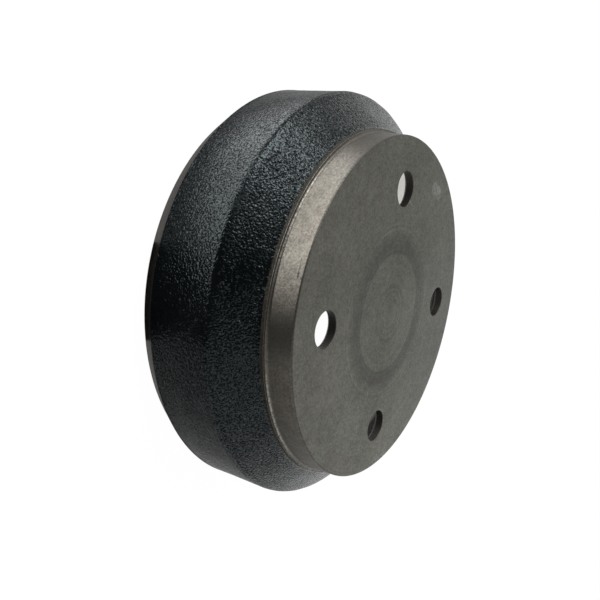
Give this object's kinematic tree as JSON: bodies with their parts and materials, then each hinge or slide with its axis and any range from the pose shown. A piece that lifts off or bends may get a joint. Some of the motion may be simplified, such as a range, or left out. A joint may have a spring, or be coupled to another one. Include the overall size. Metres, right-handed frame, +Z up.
{
  "type": "brake drum",
  "caption": "Small cast-iron brake drum with a closed flat wheel face, a turned boss, a sloping shoulder, stud holes and a bored inside open at the rim.",
  "frame": {"origin": "centre of the open rim, on the plane that the drum stands on", "axes": "+Z up the axle line, out of the wheel face; +X through a stud hole"},
  "size_m": [0.172, 0.172, 0.058],
  "materials": {
    "cast_iron": "bare turned iron, with gloss black paint on the cast outside"
  },
  "bodies": {
    "root": {"brake_drum": "cast_iron"}
  },
  "joints": []
}
